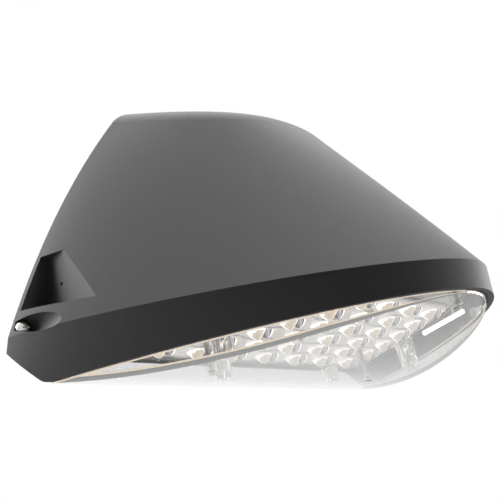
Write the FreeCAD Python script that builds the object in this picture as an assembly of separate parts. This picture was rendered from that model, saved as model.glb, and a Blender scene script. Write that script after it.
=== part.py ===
import FreeCAD, Part
import math
import os

os.makedirs("parts", exist_ok=True)
V = FreeCAD.Vector
X_AXIS = V(1, 0, 0)
Y_AXIS = V(0, 1, 0)
Z_AXIS = V(0, 0, 1)
FAR = 400.0                     # longer than the luminaire, for cutting solids

# An outdoor wall pack luminaire, in millimetres. The wall is the plane Y = 0, the nose of the
# luminaire points to -Y and +Z is up. Heights below are measured from the lowest line of the
# casting, and save() moves the origin to the centre of the junction box on the wall.
BOX_HEIGHT = 112.0              # lowest line up to the junction box centre

# Housing outlines, seen from above. Each outline is half width and depth from the wall, the
# angle at which the flank leaves the wall, and how far the curve follows its end tangents.
CREST_HALF_WIDTH = 215.4        # top crease of the band
CREST_DEPTH = 254.6
CREST_LEAN = 6.75
CREST_REAR_PULL = 71.3
CREST_NOSE_PULL = 83.4
CREST_HEIGHT = 31.3             # at the wall
CREST_RISE = 12.43              # degrees, rising towards the nose
SKIRT_HALF_WIDTH = 218.4        # bottom edge of the band, carried back to the wall
SKIRT_DEPTH = 258.9
SKIRT_LEAN = 0.0
SKIRT_REAR_PULL = 33.0
SKIRT_NOSE_PULL = 98.1
SKIRT_RISE = 16.49              # degrees, the tilt of the light's mouth
WAIST_HALF_WIDTH = 175.8        # half way up the crown
WAIST_DEPTH = 184.7
WAIST_LEAN = 11.6
WAIST_REAR_PULL = 50.9
WAIST_NOSE_PULL = 63.7
TOP_HALF_WIDTH = 113.6
TOP_DEPTH = 91.3
TOP_LEAN = 27.1
TOP_REAR_PULL = 48.6
TOP_NOSE_PULL = 71.6
TOP_HEIGHT = 222.6
TOP_ROUNDING = 30.0

# Casting
WALL = 3.0
BAND_WALL = 4.0
STANDOFF = 1.5                  # wall to the casting's rear edge
HEEL_HEIGHT = 21.6              # where the rear chamfer leaves the wall
HEEL_DEPTH = 33.5               # where it reaches the lowest line
HEEL_ROUNDING = 9.0
RIM_DEPTH = 6.5                 # wall to the inside of the rear rim
DECK_HEIGHT = 21.5              # mouth plane to the underside of the deck, square to both
DECK_THICKNESS = 4.0
SILL_DEPTH = 25.0               # rear end of the deck
LIP_THICKNESS = 4.0
LIP_DROP = 2.5
LIP_HALF_LENGTH = 196.0
FIN_THICKNESS = 2.5
FIN_PITCH = 25.0
FIN_COUNT = 11
FIN_HEIGHT = 18.0
FIN_START = 112.0

# Side pockets
POCKET_WALL_HALF = 185.2        # centre plane to the pocket's inner wall at its rear end
POCKET_DRAFT = 2.8
POCKET_REAR = 5.0               # wall to the pocket's rear face
POCKET_REACH = 80.0
POCKET_SILL_HEIGHT = 50.1
POCKET_SILL_RISE = 8.4
POCKET_ROOF_HEIGHT = 89.7
POCKET_ROOF_RISE = 14.9
POCKET_WALL = 3.0
DRAIN_RADIUS = 1.3
DRAIN_DEPTH = 1.6
DRAIN_SET_BACK = 21.5
DRAIN_HEIGHT = 71.0

# Captive screws and their channels
SCREW_HALF_SPAN = 206.05        # centre plane to the screw's axis at the wall
SCREW_HEIGHT = 36.9
SCREW_SPLAY = 3.43              # degrees outwards, going forward
CHANNEL_RADIUS = 7.0
CHANNEL_WALL = 2.4
CHANNEL_LENGTH = 75.0
SEAT_DEPTH = 5.3                # wall to the screw's seat, along the axis
HEAD_RADIUS = 5.6
HEAD_EDGE = 1.6
HEAD_HEIGHT = 5.6
SHANK_RADIUS = 2.1
THREAD_RADIUS = 2.5
THREAD_LENGTH = 2.2
SCREW_CLEARANCE = 0.35
EAR_HOLE_CLEARANCE = 0.7        # lets the slanted screw leave the plain ear hole as the housing swings
CROSS_LENGTH = 5.6
CROSS_WIDTH = 1.3
CROSS_DEPTH = 2.2

# Rear opening and wall plate
OPENING_BOTTOM = 36.0
OPENING_SHOULDER = 90.0
OPENING_TOP = 203.0
OPENING_HALF_WIDTH = 168.0
OPENING_TOP_HALF = 106.0
OPENING_ROUNDING = 10.0
PLATE_LAP = 6.0                 # plate past the opening, all round
PLATE_THICKNESS = 2.5
PLATE_CLEARANCE = 0.5           # plate's edge to the rebate's edge
TOP_CLEARANCE = 3.5             # the same above the plate, for the swing
FACE_GAP = 0.3
RIM_GASKET = 1.2
EAR_LOW = 29.5
EAR_HIGH = 46.0
EAR_SKIN = 2.2                  # casting left outside the ear's end
WIRE_HOLE_RADIUS = 13.0
BOX_SLOT_SPAN = 88.9
GANG_SLOT_SPAN = 83.3
SLOT_WIDTH = 5.2
SLOT_LENGTH = 13.0
ANCHOR_SPAN_X = 190.0
ANCHOR_SPAN_Z = 100.0
ANCHOR_RADIUS = 3.5
GASKET_OUTER = 62.0
GASKET_INNER = 55.0
GASKET_THICKNESS = 1.2

# Hooks that carry the housing
PIVOT_DEPTH = 12.0
PIVOT_HEIGHT = 214.5
BEAD_RADIUS = 3.0
HOOK_CENTRE = 70.0
HOOK_WIDTH = 24.0
HOOK_THICKNESS = 4.0
HOOK_ROOT_HEIGHT = 199.0
SADDLE_WALL = 2.7
SADDLE_SIDE = 1.5

# Light engine, measured along the deck from the rear end of the mouth
ENGINE_START = 16.0
ENGINE_SHOULDER = 65.0
ENGINE_END = 168.0
ENGINE_HALF_WIDTH = 150.0
ENGINE_END_HALF = 86.0
ENGINE_ROUNDING = 6.0
PAD_THICKNESS = 0.5
BOARD_THICKNESS = 1.6
OPTIC_BASE = 2.0
OPTIC_HEIGHT = 6.0
OPTIC_HEAD = 9.0                # radius of the optic's round end
OPTIC_TAIL = 17.0               # its centre to its tip
OPTIC_CROWN = 0.45              # size of the optic's crown, as a share of its foot
OPTIC_ROW_START = 32.5
OPTIC_ROW_PITCH = 24.5
OPTIC_COUNTS = (7, 7, 6, 6, 5, 5)
OPTIC_MARGIN = 23.5             # outermost optic to the board's edge
ENGINE_SCREW_RADIUS = 1.5
ENGINE_SCREW_HEAD = 2.8
ENGINE_SCREW_HEAD_HEIGHT = 1.8
ENGINE_SCREW_EDGE = 8.0
CHIP_SIZE = 3.5
CHIP_HEIGHT = 0.7
CHIP_CLEARANCE = 0.4

# Drop lens
LENS_INSET = 6.1                # band's outer face to the lens
LENS_WALL = 2.5
LENS_SAG = 15.1                 # how far the floor hangs below the straight line at its middle
LENS_REAR_LEAN = 4.5            # the rear wall leans this far back, over its height
LENS_GASKET = 1.2
LENS_GASKET_WIDTH = 3.6
POST_HALF_SPAN = 107.0
POST_SET = 62.0
POST_RADIUS = 4.6
NOSE_POST_SET = 212.0
LENS_SCREW_RADIUS = 1.9
LENS_SCREW_HEAD = 3.6
LENS_SCREW_HEAD_HEIGHT = 2.2
RIB_HALF_SPAN = 166.0
RIB_SET = 14.0
RIB_HEIGHT = 8.0
RIB_WIDTH = 5.0
RIB_THICKNESS = 1.6

# Driver chamber
BOSS_RADIUS = 4.0
BOSS_HEIGHT = 6.0
BRACKET_THICKNESS = 1.5
BRACKET_FLANGE = 9.0
DRIVER_LENGTH = 136.0
DRIVER_WIDTH = 58.0
DRIVER_HEIGHT = 33.0
DRIVER_SET = 34.0
DRIVER_EDGE = 3.0
BRACKET_LENGTH = 166.0
BRACKET_SCREW_SPAN = 154.0
BRACKET_SCREW_RADIUS = 2.0
SURGE_LENGTH = 46.0
SURGE_WIDTH = 32.0
SURGE_HEIGHT = 24.0
SURGE_CENTRE = 118.0
TERMINAL_LENGTH = 42.0
TERMINAL_WIDTH = 16.0
TERMINAL_HEIGHT = 18.0
TERMINAL_CENTRE = -122.0
TERMINAL_SET = 30.0
PORT_COUNT = 3
PORT_RADIUS = 2.2
LEAD_RADIUS = 1.2
LEAD_PITCH = 4.0
LEAD_CENTRE = -48.0
LEAD_HOLE_SET = 10.5
GROMMET_RADIUS = 4.6
GROMMET_FLANGE = 1.5
EARTH_SCREW_RADIUS = 2.4

CREST_SLOPE = math.tan(math.radians(CREST_RISE))
SKIRT_SLOPE = math.tan(math.radians(SKIRT_RISE))
SKIRT_COS = math.cos(math.radians(SKIRT_RISE))
DECK_TOP = DECK_HEIGHT + DECK_THICKNESS


def save(node, shape):
    """Moves the origin to the junction box centre and writes one sub-part."""
    placed = shape.copy()
    placed.translate(V(0, 0, -BOX_HEIGHT))
    placed.exportStep("parts/" + node + ".step")
    print(node, "solids", len(placed.Solids), "valid", placed.isValid(), "volume", round(placed.Volume))


def mirrored(shape):
    return shape.mirror(V(0, 0, 0), X_AXIS)


def both_sides(shape):
    return [shape, mirrored(shape)]


def mouth_height(y):
    """Height of the mouth plane, which holds the band's bottom edge."""
    return SKIRT_SLOPE * (-y - HEEL_DEPTH)


def on_deck(shape):
    """Places a shape drawn flat, with X along the wall, -Y forward and Z off the mouth plane."""
    placed = shape.copy()
    placed.rotate(V(0, 0, 0), X_AXIS, -SKIRT_RISE)
    placed.translate(V(0, -HEEL_DEPTH, 0))
    return placed


def box(x0, x1, y0, y1, z0, z1):
    return Part.makeBox(x1 - x0, y1 - y0, z1 - z0, V(x0, y0, z0))


def prism(points, direction):
    wire = Part.makePolygon(list(points) + [points[0]])
    return Part.Face(wire).extrude(direction)


def side_prism(profile, half_length=FAR):
    """A profile of (y, z) points, drawn through the whole width."""
    points = [V(-half_length, y, z) for y, z in profile]
    return prism(points, V(2 * half_length, 0, 0))


class Outline:
    """A level outline of the casting: two Bezier flanks that meet at the nose."""

    def __init__(self, half_width, depth, lean, rear_pull, nose_pull, height, slope):
        self.half_width = half_width
        self.depth = depth
        self.lean = lean
        self.rear_pull = rear_pull
        self.nose_pull = nose_pull
        self.height = height
        self.slope = slope

    def inset(self, gap, drop=0.0):
        """The same outline drawn in by a gap and lowered."""
        lean = math.radians(self.lean)
        scale = (self.depth - gap) / self.depth
        half_width = self.half_width - gap / math.cos(lean)
        return Outline(half_width, self.depth - gap, self.lean, self.rear_pull * scale,
                       self.nose_pull * scale, self.height - drop, self.slope)

    def poles(self):
        lean = math.radians(self.lean)
        start = (-self.half_width, 0.0)
        first = (start[0] + self.rear_pull * math.sin(lean), -self.rear_pull * math.cos(lean))
        return [start, first, (-self.nose_pull, -self.depth), (0.0, -self.depth)]

    def point(self, x, y):
        return V(x, y, self.height - self.slope * y)

    def wire(self):
        left = Part.BezierCurve()
        left.setPoles([self.point(x, y) for x, y in self.poles()])
        right = Part.BezierCurve()
        right.setPoles([self.point(-x, y) for x, y in reversed(self.poles())])
        back = Part.makeLine(self.point(self.half_width, 0), self.point(-self.half_width, 0))
        return Part.Wire([left.toShape(), right.toShape(), back])


MOUTH_AT_WALL = mouth_height(0.0)
CREST = Outline(CREST_HALF_WIDTH, CREST_DEPTH, CREST_LEAN, CREST_REAR_PULL, CREST_NOSE_PULL,
                CREST_HEIGHT, CREST_SLOPE)
SKIRT = Outline(SKIRT_HALF_WIDTH, SKIRT_DEPTH, SKIRT_LEAN, SKIRT_REAR_PULL, SKIRT_NOSE_PULL,
                MOUTH_AT_WALL, SKIRT_SLOPE)
WAIST = Outline(WAIST_HALF_WIDTH, WAIST_DEPTH, WAIST_LEAN, WAIST_REAR_PULL, WAIST_NOSE_PULL,
                (CREST_HEIGHT + TOP_HEIGHT) / 2, CREST_SLOPE / 2)
TOP = Outline(TOP_HALF_WIDTH, TOP_DEPTH, TOP_LEAN, TOP_REAR_PULL, TOP_NOSE_PULL, TOP_HEIGHT, 0.0)


def crown(gap):
    """The lofted upper body, from the band's crease to the rounded top."""
    sections = [CREST.inset(gap), WAIST.inset(gap), TOP.inset(gap, gap)]
    body = Part.makeLoft([section.wire() for section in sections], True, False)
    top_edges = [edge for edge in body.Edges
                 if edge.BoundBox.ZMin > TOP_HEIGHT - gap - 1.0 and edge.BoundBox.YMin < -1.0]
    return body.makeFillet(TOP_ROUNDING - gap, top_edges)


def band(gap, drop):
    """The band round the mouth; a drop carries it straight down below the mouth plane."""
    sections = [SKIRT.inset(gap), CREST.inset(gap)]
    if drop:
        sections.insert(0, SKIRT.inset(gap, drop))
    return Part.makeLoft([section.wire() for section in sections], True, True)


def heel_wedge():
    """What the rear chamfer takes off, with the chamfer's lower corner rounded."""
    slope = HEEL_HEIGHT / HEEL_DEPTH
    along = V(0, HEEL_DEPTH, HEEL_HEIGHT).normalize()
    forward = V(0, -SKIRT_COS, SKIRT_COS * SKIRT_SLOPE)
    corner = V(-FAR, -HEEL_DEPTH, 0)
    half_turn = (math.atan(slope) + math.radians(SKIRT_RISE)) / 2
    reach = HEEL_ROUNDING * math.tan(half_turn)
    start = corner + along * reach
    end = corner + forward * reach
    inward = (along + forward).normalize()
    middle = corner + inward * (HEEL_ROUNDING / math.cos(half_turn) - HEEL_ROUNDING)
    top = corner + along * FAR
    tip = corner + forward * 2 * HEEL_ROUNDING
    low = -2 * FAR
    corners = [tip, V(-FAR, tip.y, low), V(-FAR, top.y, low), top]
    edges = [Part.makeLine(top, start), Part.Arc(start, middle, end).toShape(), Part.makeLine(end, tip)]
    edges += [Part.makeLine(a, b) for a, b in zip(corners, corners[1:])]
    return Part.Face(Part.Wire(edges)).extrude(V(2 * FAR, 0, 0))


def deck_line(offset):
    """Two (y, z) points of a line along the deck, at a height off the mouth plane."""
    lift = offset / SKIRT_COS
    return [(-SILL_DEPTH, mouth_height(-SILL_DEPTH) + lift), (-FAR, mouth_height(-FAR) + lift)]


def chamber_space():
    """All the space above the deck and the sill, in front of the rear rim."""
    rear, front = deck_line(DECK_TOP)
    return side_prism([(-RIM_DEPTH, rear[1]), rear, front, (-FAR, 2 * FAR), (-RIM_DEPTH, 2 * FAR)])


def mouth_space():
    """All the space below the deck and the sill."""
    rear, front = deck_line(DECK_HEIGHT)
    return side_prism([(FAR, rear[1]), rear, front, (-FAR, -FAR), (FAR, -FAR)])


def pocket(growth):
    """The trapezoid recess in the left flank, or its outside when grown by its wall."""
    draft = math.tan(math.radians(POCKET_DRAFT))
    inner = -POCKET_WALL_HALF + growth
    rear = -POCKET_REAR + growth
    front = rear - POCKET_REACH
    plan = prism([V(inner, rear, 0), V(inner - draft * POCKET_REACH, front, 0), V(-FAR, front, 0),
                  V(-FAR, rear, 0)], V(0, 0, FAR))
    sill = math.tan(math.radians(POCKET_SILL_RISE))
    roof = math.tan(math.radians(POCKET_ROOF_RISE))
    low = POCKET_SILL_HEIGHT - growth
    high = POCKET_ROOF_HEIGHT + growth
    side = side_prism([(rear, low - sill * rear), (front, low - sill * front),
                       (front, high - roof * front), (rear, high - roof * rear)])
    return plan.common(side)


def drain_dimple():
    """The small blind hole in the pocket's inner wall."""
    start = V(-POCKET_WALL_HALF - FAR / 100, -DRAIN_SET_BACK, DRAIN_HEIGHT)
    depth = FAR / 100 + DRAIN_DEPTH - math.tan(math.radians(POCKET_DRAFT)) * DRAIN_SET_BACK
    return Part.makeCylinder(DRAIN_RADIUS, depth, start, X_AXIS)


def screw_axis():
    """Direction of the left screw, out of its seat: forward, up with the crest, outwards."""
    return V(-math.tan(math.radians(SCREW_SPLAY)), -1.0, CREST_SLOPE).normalize()


def screw_point(distance):
    """A point on the left screw's axis, at a distance from the wall plane."""
    return V(-SCREW_HALF_SPAN, 0, SCREW_HEIGHT) + screw_axis() * distance


def screw_cylinder(radius, start, length):
    return Part.makeCylinder(radius, length, screw_point(start), screw_axis())


def opening_points(growth):
    """Corners of the rear opening, or of the plate when grown; x and z."""
    side = math.atan2(OPENING_HALF_WIDTH - OPENING_TOP_HALF, OPENING_TOP - OPENING_SHOULDER)
    low, high = OPENING_BOTTOM - growth, OPENING_TOP + growth
    half = OPENING_HALF_WIDTH + growth
    top_half = OPENING_TOP_HALF + growth * (1 / math.cos(side) - math.tan(side))
    shoulder = OPENING_SHOULDER + growth * math.tan(side / 2)
    return [(-half, low), (half, low), (half, shoulder), (top_half, high), (-top_half, high),
            (-half, shoulder)]


def opening_prism(growth, y_front, y_rear):
    """A prism of the rear opening's rounded outline, between two depths."""
    points = [V(x, y_rear, z) for x, z in opening_points(growth)]
    solid = prism(points, V(0, y_front - y_rear, 0))
    corners = [edge for edge in solid.Edges
               if abs(edge.Vertexes[0].Y - edge.Vertexes[1].Y) > abs(y_front - y_rear) / 2]
    return solid.makeFillet(OPENING_ROUNDING + growth, corners)


def ear_end():
    """Half width at the ear's end, inside the casting's skin."""
    height = (EAR_HIGH - CREST_HEIGHT) / (WAIST.height - CREST_HEIGHT)
    flank = CREST_HALF_WIDTH + (WAIST_HALF_WIDTH - CREST_HALF_WIDTH) * height * 0.8
    return flank - EAR_SKIN


def ears(growth, y_front, y_rear):
    """The plate's bottom ears, or the rebate they lie in when grown."""
    end = ear_end() + growth
    return box(-end, end, y_front, y_rear, EAR_LOW - growth, EAR_HIGH + growth)


def fins():
    span = FIN_PITCH * (FIN_COUNT - 1)
    shapes = []
    for index in range(FIN_COUNT):
        x = -span / 2 + index * FIN_PITCH
        shapes.append(on_deck(box(x - FIN_THICKNESS / 2, x + FIN_THICKNESS / 2, -FAR, -FIN_START,
                                  DECK_HEIGHT, DECK_TOP + FIN_HEIGHT)))
    return shapes


def bracket_screw_places():
    front = DRIVER_SET + DRIVER_WIDTH - BRACKET_FLANGE
    rear = DRIVER_SET + BRACKET_FLANGE
    return [(side * BRACKET_SCREW_SPAN / 2, place) for side in (-1, 1) for place in (rear, front)]


def bosses():
    shapes = []
    for x, place in bracket_screw_places():
        shapes.append(on_deck(Part.makeCylinder(BOSS_RADIUS, BOSS_HEIGHT + DECK_THICKNESS,
                                                V(x, -place, DECK_HEIGHT))))
    return shapes


def saddle(side):
    """The cast cradle that hangs over one bead of the wall plate."""
    reach = BEAD_RADIUS + FACE_GAP + SADDLE_WALL
    centre = side * HOOK_CENTRE
    half = HOOK_WIDTH / 2 + SADDLE_SIDE
    block = box(centre - half, centre + half, -PIVOT_DEPTH - reach, -RIM_DEPTH, PIVOT_HEIGHT,
                TOP_HEIGHT)
    recess = Part.makeCylinder(BEAD_RADIUS + FACE_GAP, FAR, V(-FAR / 2, -PIVOT_DEPTH, PIVOT_HEIGHT),
                               X_AXIS)
    return block.cut(recess)


def lens_post_places():
    return [(-POST_HALF_SPAN, POST_SET), (POST_HALF_SPAN, POST_SET), (0.0, NOSE_POST_SET)]


def housing():
    """The die-cast housing: lofted crown and band, deck, fins, pockets, channels and rim."""
    outer = crown(0.0).fuse(band(0.0, 0.0)).removeSplitter()
    outer = outer.cut(box(-FAR, FAR, -STANDOFF, FAR, -FAR, FAR))
    outer = outer.cut(heel_wedge())
    inner = crown(WALL).fuse(band(BAND_WALL, HEEL_HEIGHT))
    chamber = inner.common(chamber_space())
    for pocket_wall in both_sides(pocket(POCKET_WALL)):
        chamber = chamber.cut(pocket_wall)
    channel_wall = screw_cylinder(CHANNEL_RADIUS + CHANNEL_WALL, 0.0, CHANNEL_LENGTH)
    for wall in both_sides(channel_wall):
        chamber = chamber.cut(wall)
    chamber = chamber.cut(Part.makeCompound(fins()))
    chamber = chamber.cut(Part.makeCompound(bosses()))
    chamber = chamber.cut(Part.makeCompound([saddle(-1), saddle(1)]))
    body = outer.cut(chamber)
    body = body.cut(inner.common(mouth_space()))
    for space in both_sides(pocket(0.0)) + both_sides(drain_dimple()):
        body = body.cut(space)
    for space in both_sides(screw_cylinder(CHANNEL_RADIUS, SEAT_DEPTH, CHANNEL_LENGTH)):
        body = body.cut(space)
    body = body.cut(opening_prism(0.0, -RIM_DEPTH - 1.0, 0.0))
    rebate = opening_prism(PLATE_LAP + PLATE_CLEARANCE, -PLATE_THICKNESS - FACE_GAP - RIM_GASKET, 0.0)
    body = body.cut(rebate)
    top_half = OPENING_TOP_HALF + PLATE_LAP
    body = body.cut(box(-top_half, top_half, -PLATE_THICKNESS - FACE_GAP - RIM_GASKET, 0.0, OPENING_TOP,
                        OPENING_TOP + PLATE_LAP + TOP_CLEARANCE))
    body = body.cut(ears(PLATE_CLEARANCE, -PLATE_THICKNESS - FACE_GAP, 0.0))
    for hole in both_sides(screw_cylinder(THREAD_RADIUS + SCREW_CLEARANCE, 0.0, SEAT_DEPTH + 1.0)):
        body = body.cut(hole)
    rear = deck_line(DECK_HEIGHT)[0]
    lip = box(-LIP_HALF_LENGTH, LIP_HALF_LENGTH, -SILL_DEPTH, -SILL_DEPTH + LIP_THICKNESS,
              rear[1] - LIP_DROP, rear[1])
    body = body.fuse(lip)
    for x, place in lens_post_places():
        body = body.cut(on_deck(Part.makeCylinder(LENS_SCREW_RADIUS + 0.05, DECK_THICKNESS,
                                                  V(x, -place, DECK_HEIGHT - 1.0))))
    for x, place in bracket_screw_places():
        body = body.cut(on_deck(Part.makeCylinder(BRACKET_SCREW_RADIUS + 0.05, BOSS_HEIGHT,
                                                  V(x, -place, DECK_TOP))))
    body = body.cut(on_deck(Part.makeCylinder(GROMMET_RADIUS, 3 * DECK_THICKNESS,
                                              V(LEAD_CENTRE, -LEAD_HOLE_SET, DECK_HEIGHT - DECK_THICKNESS))))
    return body


def captive_screw():
    """The left captive screw, seated: cross-recessed dome, reduced shank, threaded tip."""
    rise = HEAD_HEIGHT - HEAD_EDGE
    dome_radius = (HEAD_RADIUS ** 2 + rise ** 2) / (2 * rise)
    middle = math.asin(HEAD_RADIUS / dome_radius) / 2
    low = dome_radius - rise
    dome = Part.Arc(V(HEAD_RADIUS, 0, HEAD_EDGE),
                    V(dome_radius * math.sin(middle), 0, HEAD_EDGE + dome_radius * math.cos(middle) - low),
                    V(0, 0, HEAD_HEIGHT)).toShape()
    tip = -SEAT_DEPTH + STANDOFF / 2
    neck = tip + THREAD_LENGTH
    outline = [V(0, 0, HEAD_HEIGHT), V(0, 0, tip), V(THREAD_RADIUS, 0, tip), V(THREAD_RADIUS, 0, neck),
               V(SHANK_RADIUS, 0, neck), V(SHANK_RADIUS, 0, 0), V(HEAD_RADIUS, 0, 0),
               V(HEAD_RADIUS, 0, HEAD_EDGE)]
    edges = [Part.makeLine(a, b) for a, b in zip(outline, outline[1:])]
    screw = Part.Face(Part.Wire(edges + [dome])).revolve(V(0, 0, 0), Z_AXIS, 360)
    for length, width in ((CROSS_LENGTH, CROSS_WIDTH), (CROSS_WIDTH, CROSS_LENGTH)):
        screw = screw.cut(box(-length / 2, length / 2, -width / 2, width / 2,
                              HEAD_HEIGHT - CROSS_DEPTH, HEAD_HEIGHT + 1))
    turn = FreeCAD.Rotation(Z_AXIS, screw_axis())
    screw.Placement = FreeCAD.Placement(screw_point(SEAT_DEPTH), turn)
    return screw


def hook(side):
    """An arm that steps through the rear opening and ends in the bead the saddle hangs on."""
    centre = side * HOOK_CENTRE
    x0, x1 = centre - HOOK_WIDTH / 2, centre + HOOK_WIDTH / 2
    front = -PIVOT_DEPTH - HOOK_THICKNESS / 2
    rear = -PIVOT_DEPTH + HOOK_THICKNESS / 2
    profile = [(-PLATE_THICKNESS + 1.0, HOOK_ROOT_HEIGHT - HOOK_THICKNESS), (front, HOOK_ROOT_HEIGHT
               - HOOK_THICKNESS), (front, PIVOT_HEIGHT), (rear, PIVOT_HEIGHT), (rear, HOOK_ROOT_HEIGHT),
               (-PLATE_THICKNESS + 1.0, HOOK_ROOT_HEIGHT)]
    arm = prism([V(x0, y, z) for y, z in profile], V(HOOK_WIDTH, 0, 0))
    bead = Part.makeCylinder(BEAD_RADIUS, HOOK_WIDTH, V(x0, -PIVOT_DEPTH, PIVOT_HEIGHT), X_AXIS)
    return arm.fuse(bead).removeSplitter()


def slot(x, z, length, width, along_x):
    """A round-ended slot through the wall plate."""
    radius = width / 2
    reach = (length - width) / 2
    dx, dz = (reach, 0) if along_x else (0, reach)
    ends = [Part.makeCylinder(radius, FAR, V(x + s * dx, -FAR / 2, z + s * dz), Y_AXIS) for s in (-1, 1)]
    half_x, half_z = (reach, radius) if along_x else (radius, reach)
    middle = box(x - half_x, x + half_x, -FAR / 2, FAR / 2, z - half_z, z + half_z)
    return ends[0].fuse(ends[1]).fuse(middle)


def ring(outer, inner, y_front, y_rear):
    length = y_rear - y_front
    start = V(0, y_front, BOX_HEIGHT)
    return Part.makeCylinder(outer, length, start, Y_AXIS).cut(
        Part.makeCylinder(inner, length, start, Y_AXIS))


def earth_screw_place():
    return (WIRE_HOLE_RADIUS + 22.0, BOX_HEIGHT - 34.0)


def wall_plate():
    """The plate that is fixed to the wall, with its hooks and its ears for the captive screws."""
    plate = opening_prism(PLATE_LAP, -PLATE_THICKNESS, 0.0)
    plate = plate.fuse(ears(0.0, -PLATE_THICKNESS, 0.0)).removeSplitter()
    for side in (-1, 1):
        plate = plate.fuse(hook(side))
    plate = plate.cut(Part.makeCylinder(WIRE_HOLE_RADIUS, FAR, V(0, -FAR / 2, BOX_HEIGHT), Y_AXIS))
    for s in (-1, 1):
        plate = plate.cut(slot(s * BOX_SLOT_SPAN / 2, BOX_HEIGHT, SLOT_LENGTH, SLOT_WIDTH, True))
        plate = plate.cut(slot(0, BOX_HEIGHT + s * GANG_SLOT_SPAN / 2, SLOT_LENGTH, SLOT_WIDTH, False))
        for t in (-1, 1):
            centre = V(s * ANCHOR_SPAN_X / 2, -FAR / 2, BOX_HEIGHT + t * ANCHOR_SPAN_Z / 2)
            plate = plate.cut(Part.makeCylinder(ANCHOR_RADIUS, FAR, centre, Y_AXIS))
    plate = plate.cut(ring(GASKET_OUTER + FACE_GAP, GASKET_INNER - FACE_GAP, -GASKET_THICKNESS, 1.0))
    x, z = earth_screw_place()
    plate = plate.cut(Part.makeCylinder(EARTH_SCREW_RADIUS + 0.05, FAR, V(x, -FAR / 2, z), Y_AXIS))
    for hole in both_sides(screw_cylinder(THREAD_RADIUS + EAR_HOLE_CLEARANCE, -1.0, SEAT_DEPTH)):
        plate = plate.cut(hole)
    return plate.removeSplitter()


def wall_gasket():
    return ring(GASKET_OUTER, GASKET_INNER, -GASKET_THICKNESS, 0.0)


def wire_bushing():
    """The rubber bushing in the plate's wire hole: a grooved ring."""
    outer = WIRE_HOLE_RADIUS + 2.5
    inner = WIRE_HOLE_RADIUS - 2.5
    bushing = ring(outer, inner, -PLATE_THICKNESS - 1.8, -PLATE_THICKNESS)
    return bushing.fuse(ring(WIRE_HOLE_RADIUS, inner, -PLATE_THICKNESS, 0.0)).removeSplitter()


def earth_screw():
    """The hexagon-headed earthing screw on the wall plate."""
    x, z = earth_screw_place()
    head = prism([V(x + 4.6 * math.cos(a), -PLATE_THICKNESS, z + 4.6 * math.sin(a))
                  for a in [math.radians(60 * i) for i in range(6)]], V(0, -3.2, 0))
    shank = Part.makeCylinder(EARTH_SCREW_RADIUS, PLATE_THICKNESS - 0.2, V(x, -PLATE_THICKNESS, z), Y_AXIS)
    return head.fuse(shank)


def rim_gasket():
    """The foam strip in the rebate, between the casting's rim and the wall plate."""
    front = -PLATE_THICKNESS - FACE_GAP - RIM_GASKET
    strip = opening_prism(PLATE_LAP, front, front + RIM_GASKET)
    return strip.cut(opening_prism(1.0, front - 1.0, front + RIM_GASKET + 1.0))


def engine_points(inset):
    """Corners of the light engine's board in the deck's flat frame."""
    side = math.atan2(ENGINE_HALF_WIDTH - ENGINE_END_HALF, ENGINE_END - ENGINE_SHOULDER)
    half = ENGINE_HALF_WIDTH - inset
    end_half = ENGINE_END_HALF + inset * math.tan(side) - inset / math.cos(side)
    shoulder = ENGINE_SHOULDER - inset * math.tan(side / 2)
    start, end = ENGINE_START + inset, ENGINE_END - inset
    return [(-half, -start), (-half, -shoulder), (-end_half, -end), (end_half, -end),
            (half, -shoulder), (half, -start)]


def engine_sheet(inset, low, high):
    solid = prism([V(x, y, low) for x, y in engine_points(inset)], V(0, 0, high - low))
    upright = [edge for edge in solid.Edges if abs(edge.Vertexes[0].Z - edge.Vertexes[1].Z) > (high - low) / 2]
    return solid.makeFillet(ENGINE_ROUNDING, upright)


def optic_places():
    """Centres of the optics, row by row, inside the board's slanted edges."""
    places = []
    slant = (ENGINE_HALF_WIDTH - ENGINE_END_HALF) / (ENGINE_END - ENGINE_SHOULDER)
    for row, count in enumerate(OPTIC_COUNTS):
        place = OPTIC_ROW_START + row * OPTIC_ROW_PITCH
        edge = ENGINE_HALF_WIDTH - slant * max(0.0, place - ENGINE_SHOULDER)
        half = edge - OPTIC_MARGIN
        for index in range(count):
            places.append((-half + 2 * half * index / (count - 1), -place))
    return places


def teardrop_wire(x, y, height, size):
    """A teardrop with its tip towards +X: a round head and two straight flanks."""
    head = OPTIC_HEAD * size
    tail = OPTIC_TAIL * size
    angle = math.acos(head / tail)
    upper = V(x + head * math.cos(angle), y + head * math.sin(angle), height)
    lower = V(x + head * math.cos(angle), y - head * math.sin(angle), height)
    tip = V(x + tail, y, height)
    arc = Part.Arc(upper, V(x - head, y, height), lower).toShape()
    return Part.Wire([arc, Part.makeLine(lower, tip), Part.makeLine(tip, upper)])


PAD_LOW = DECK_HEIGHT - PAD_THICKNESS
BOARD_LOW = PAD_LOW - BOARD_THICKNESS
OPTIC_LOW = BOARD_LOW - OPTIC_BASE


def engine_screw_places():
    """The screws that hold board and optic sheet: between the rows, clear of the optics."""
    rear = -OPTIC_ROW_START - OPTIC_ROW_PITCH / 2
    front = -OPTIC_ROW_START - (len(OPTIC_COUNTS) - 1.5) * OPTIC_ROW_PITCH
    rear_half = ENGINE_HALF_WIDTH - ENGINE_SCREW_EDGE
    return [(-rear_half, rear), (rear_half, rear), (-ENGINE_END_HALF, front), (ENGINE_END_HALF, front),
            (0.0, front)]


def engine_holes(sheet, clearance):
    """Clears the sheet round the engine screws, the lens posts and their screws."""
    for x, y in engine_screw_places():
        sheet = sheet.cut(Part.makeCylinder(ENGINE_SCREW_RADIUS + clearance, FAR, V(x, y, -FAR / 2)))
    for x, place in lens_post_places():
        if place < ENGINE_END:
            sheet = sheet.cut(Part.makeCylinder(POST_RADIUS + clearance, FAR, V(x, -place, -FAR / 2)))
    return sheet


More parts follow.
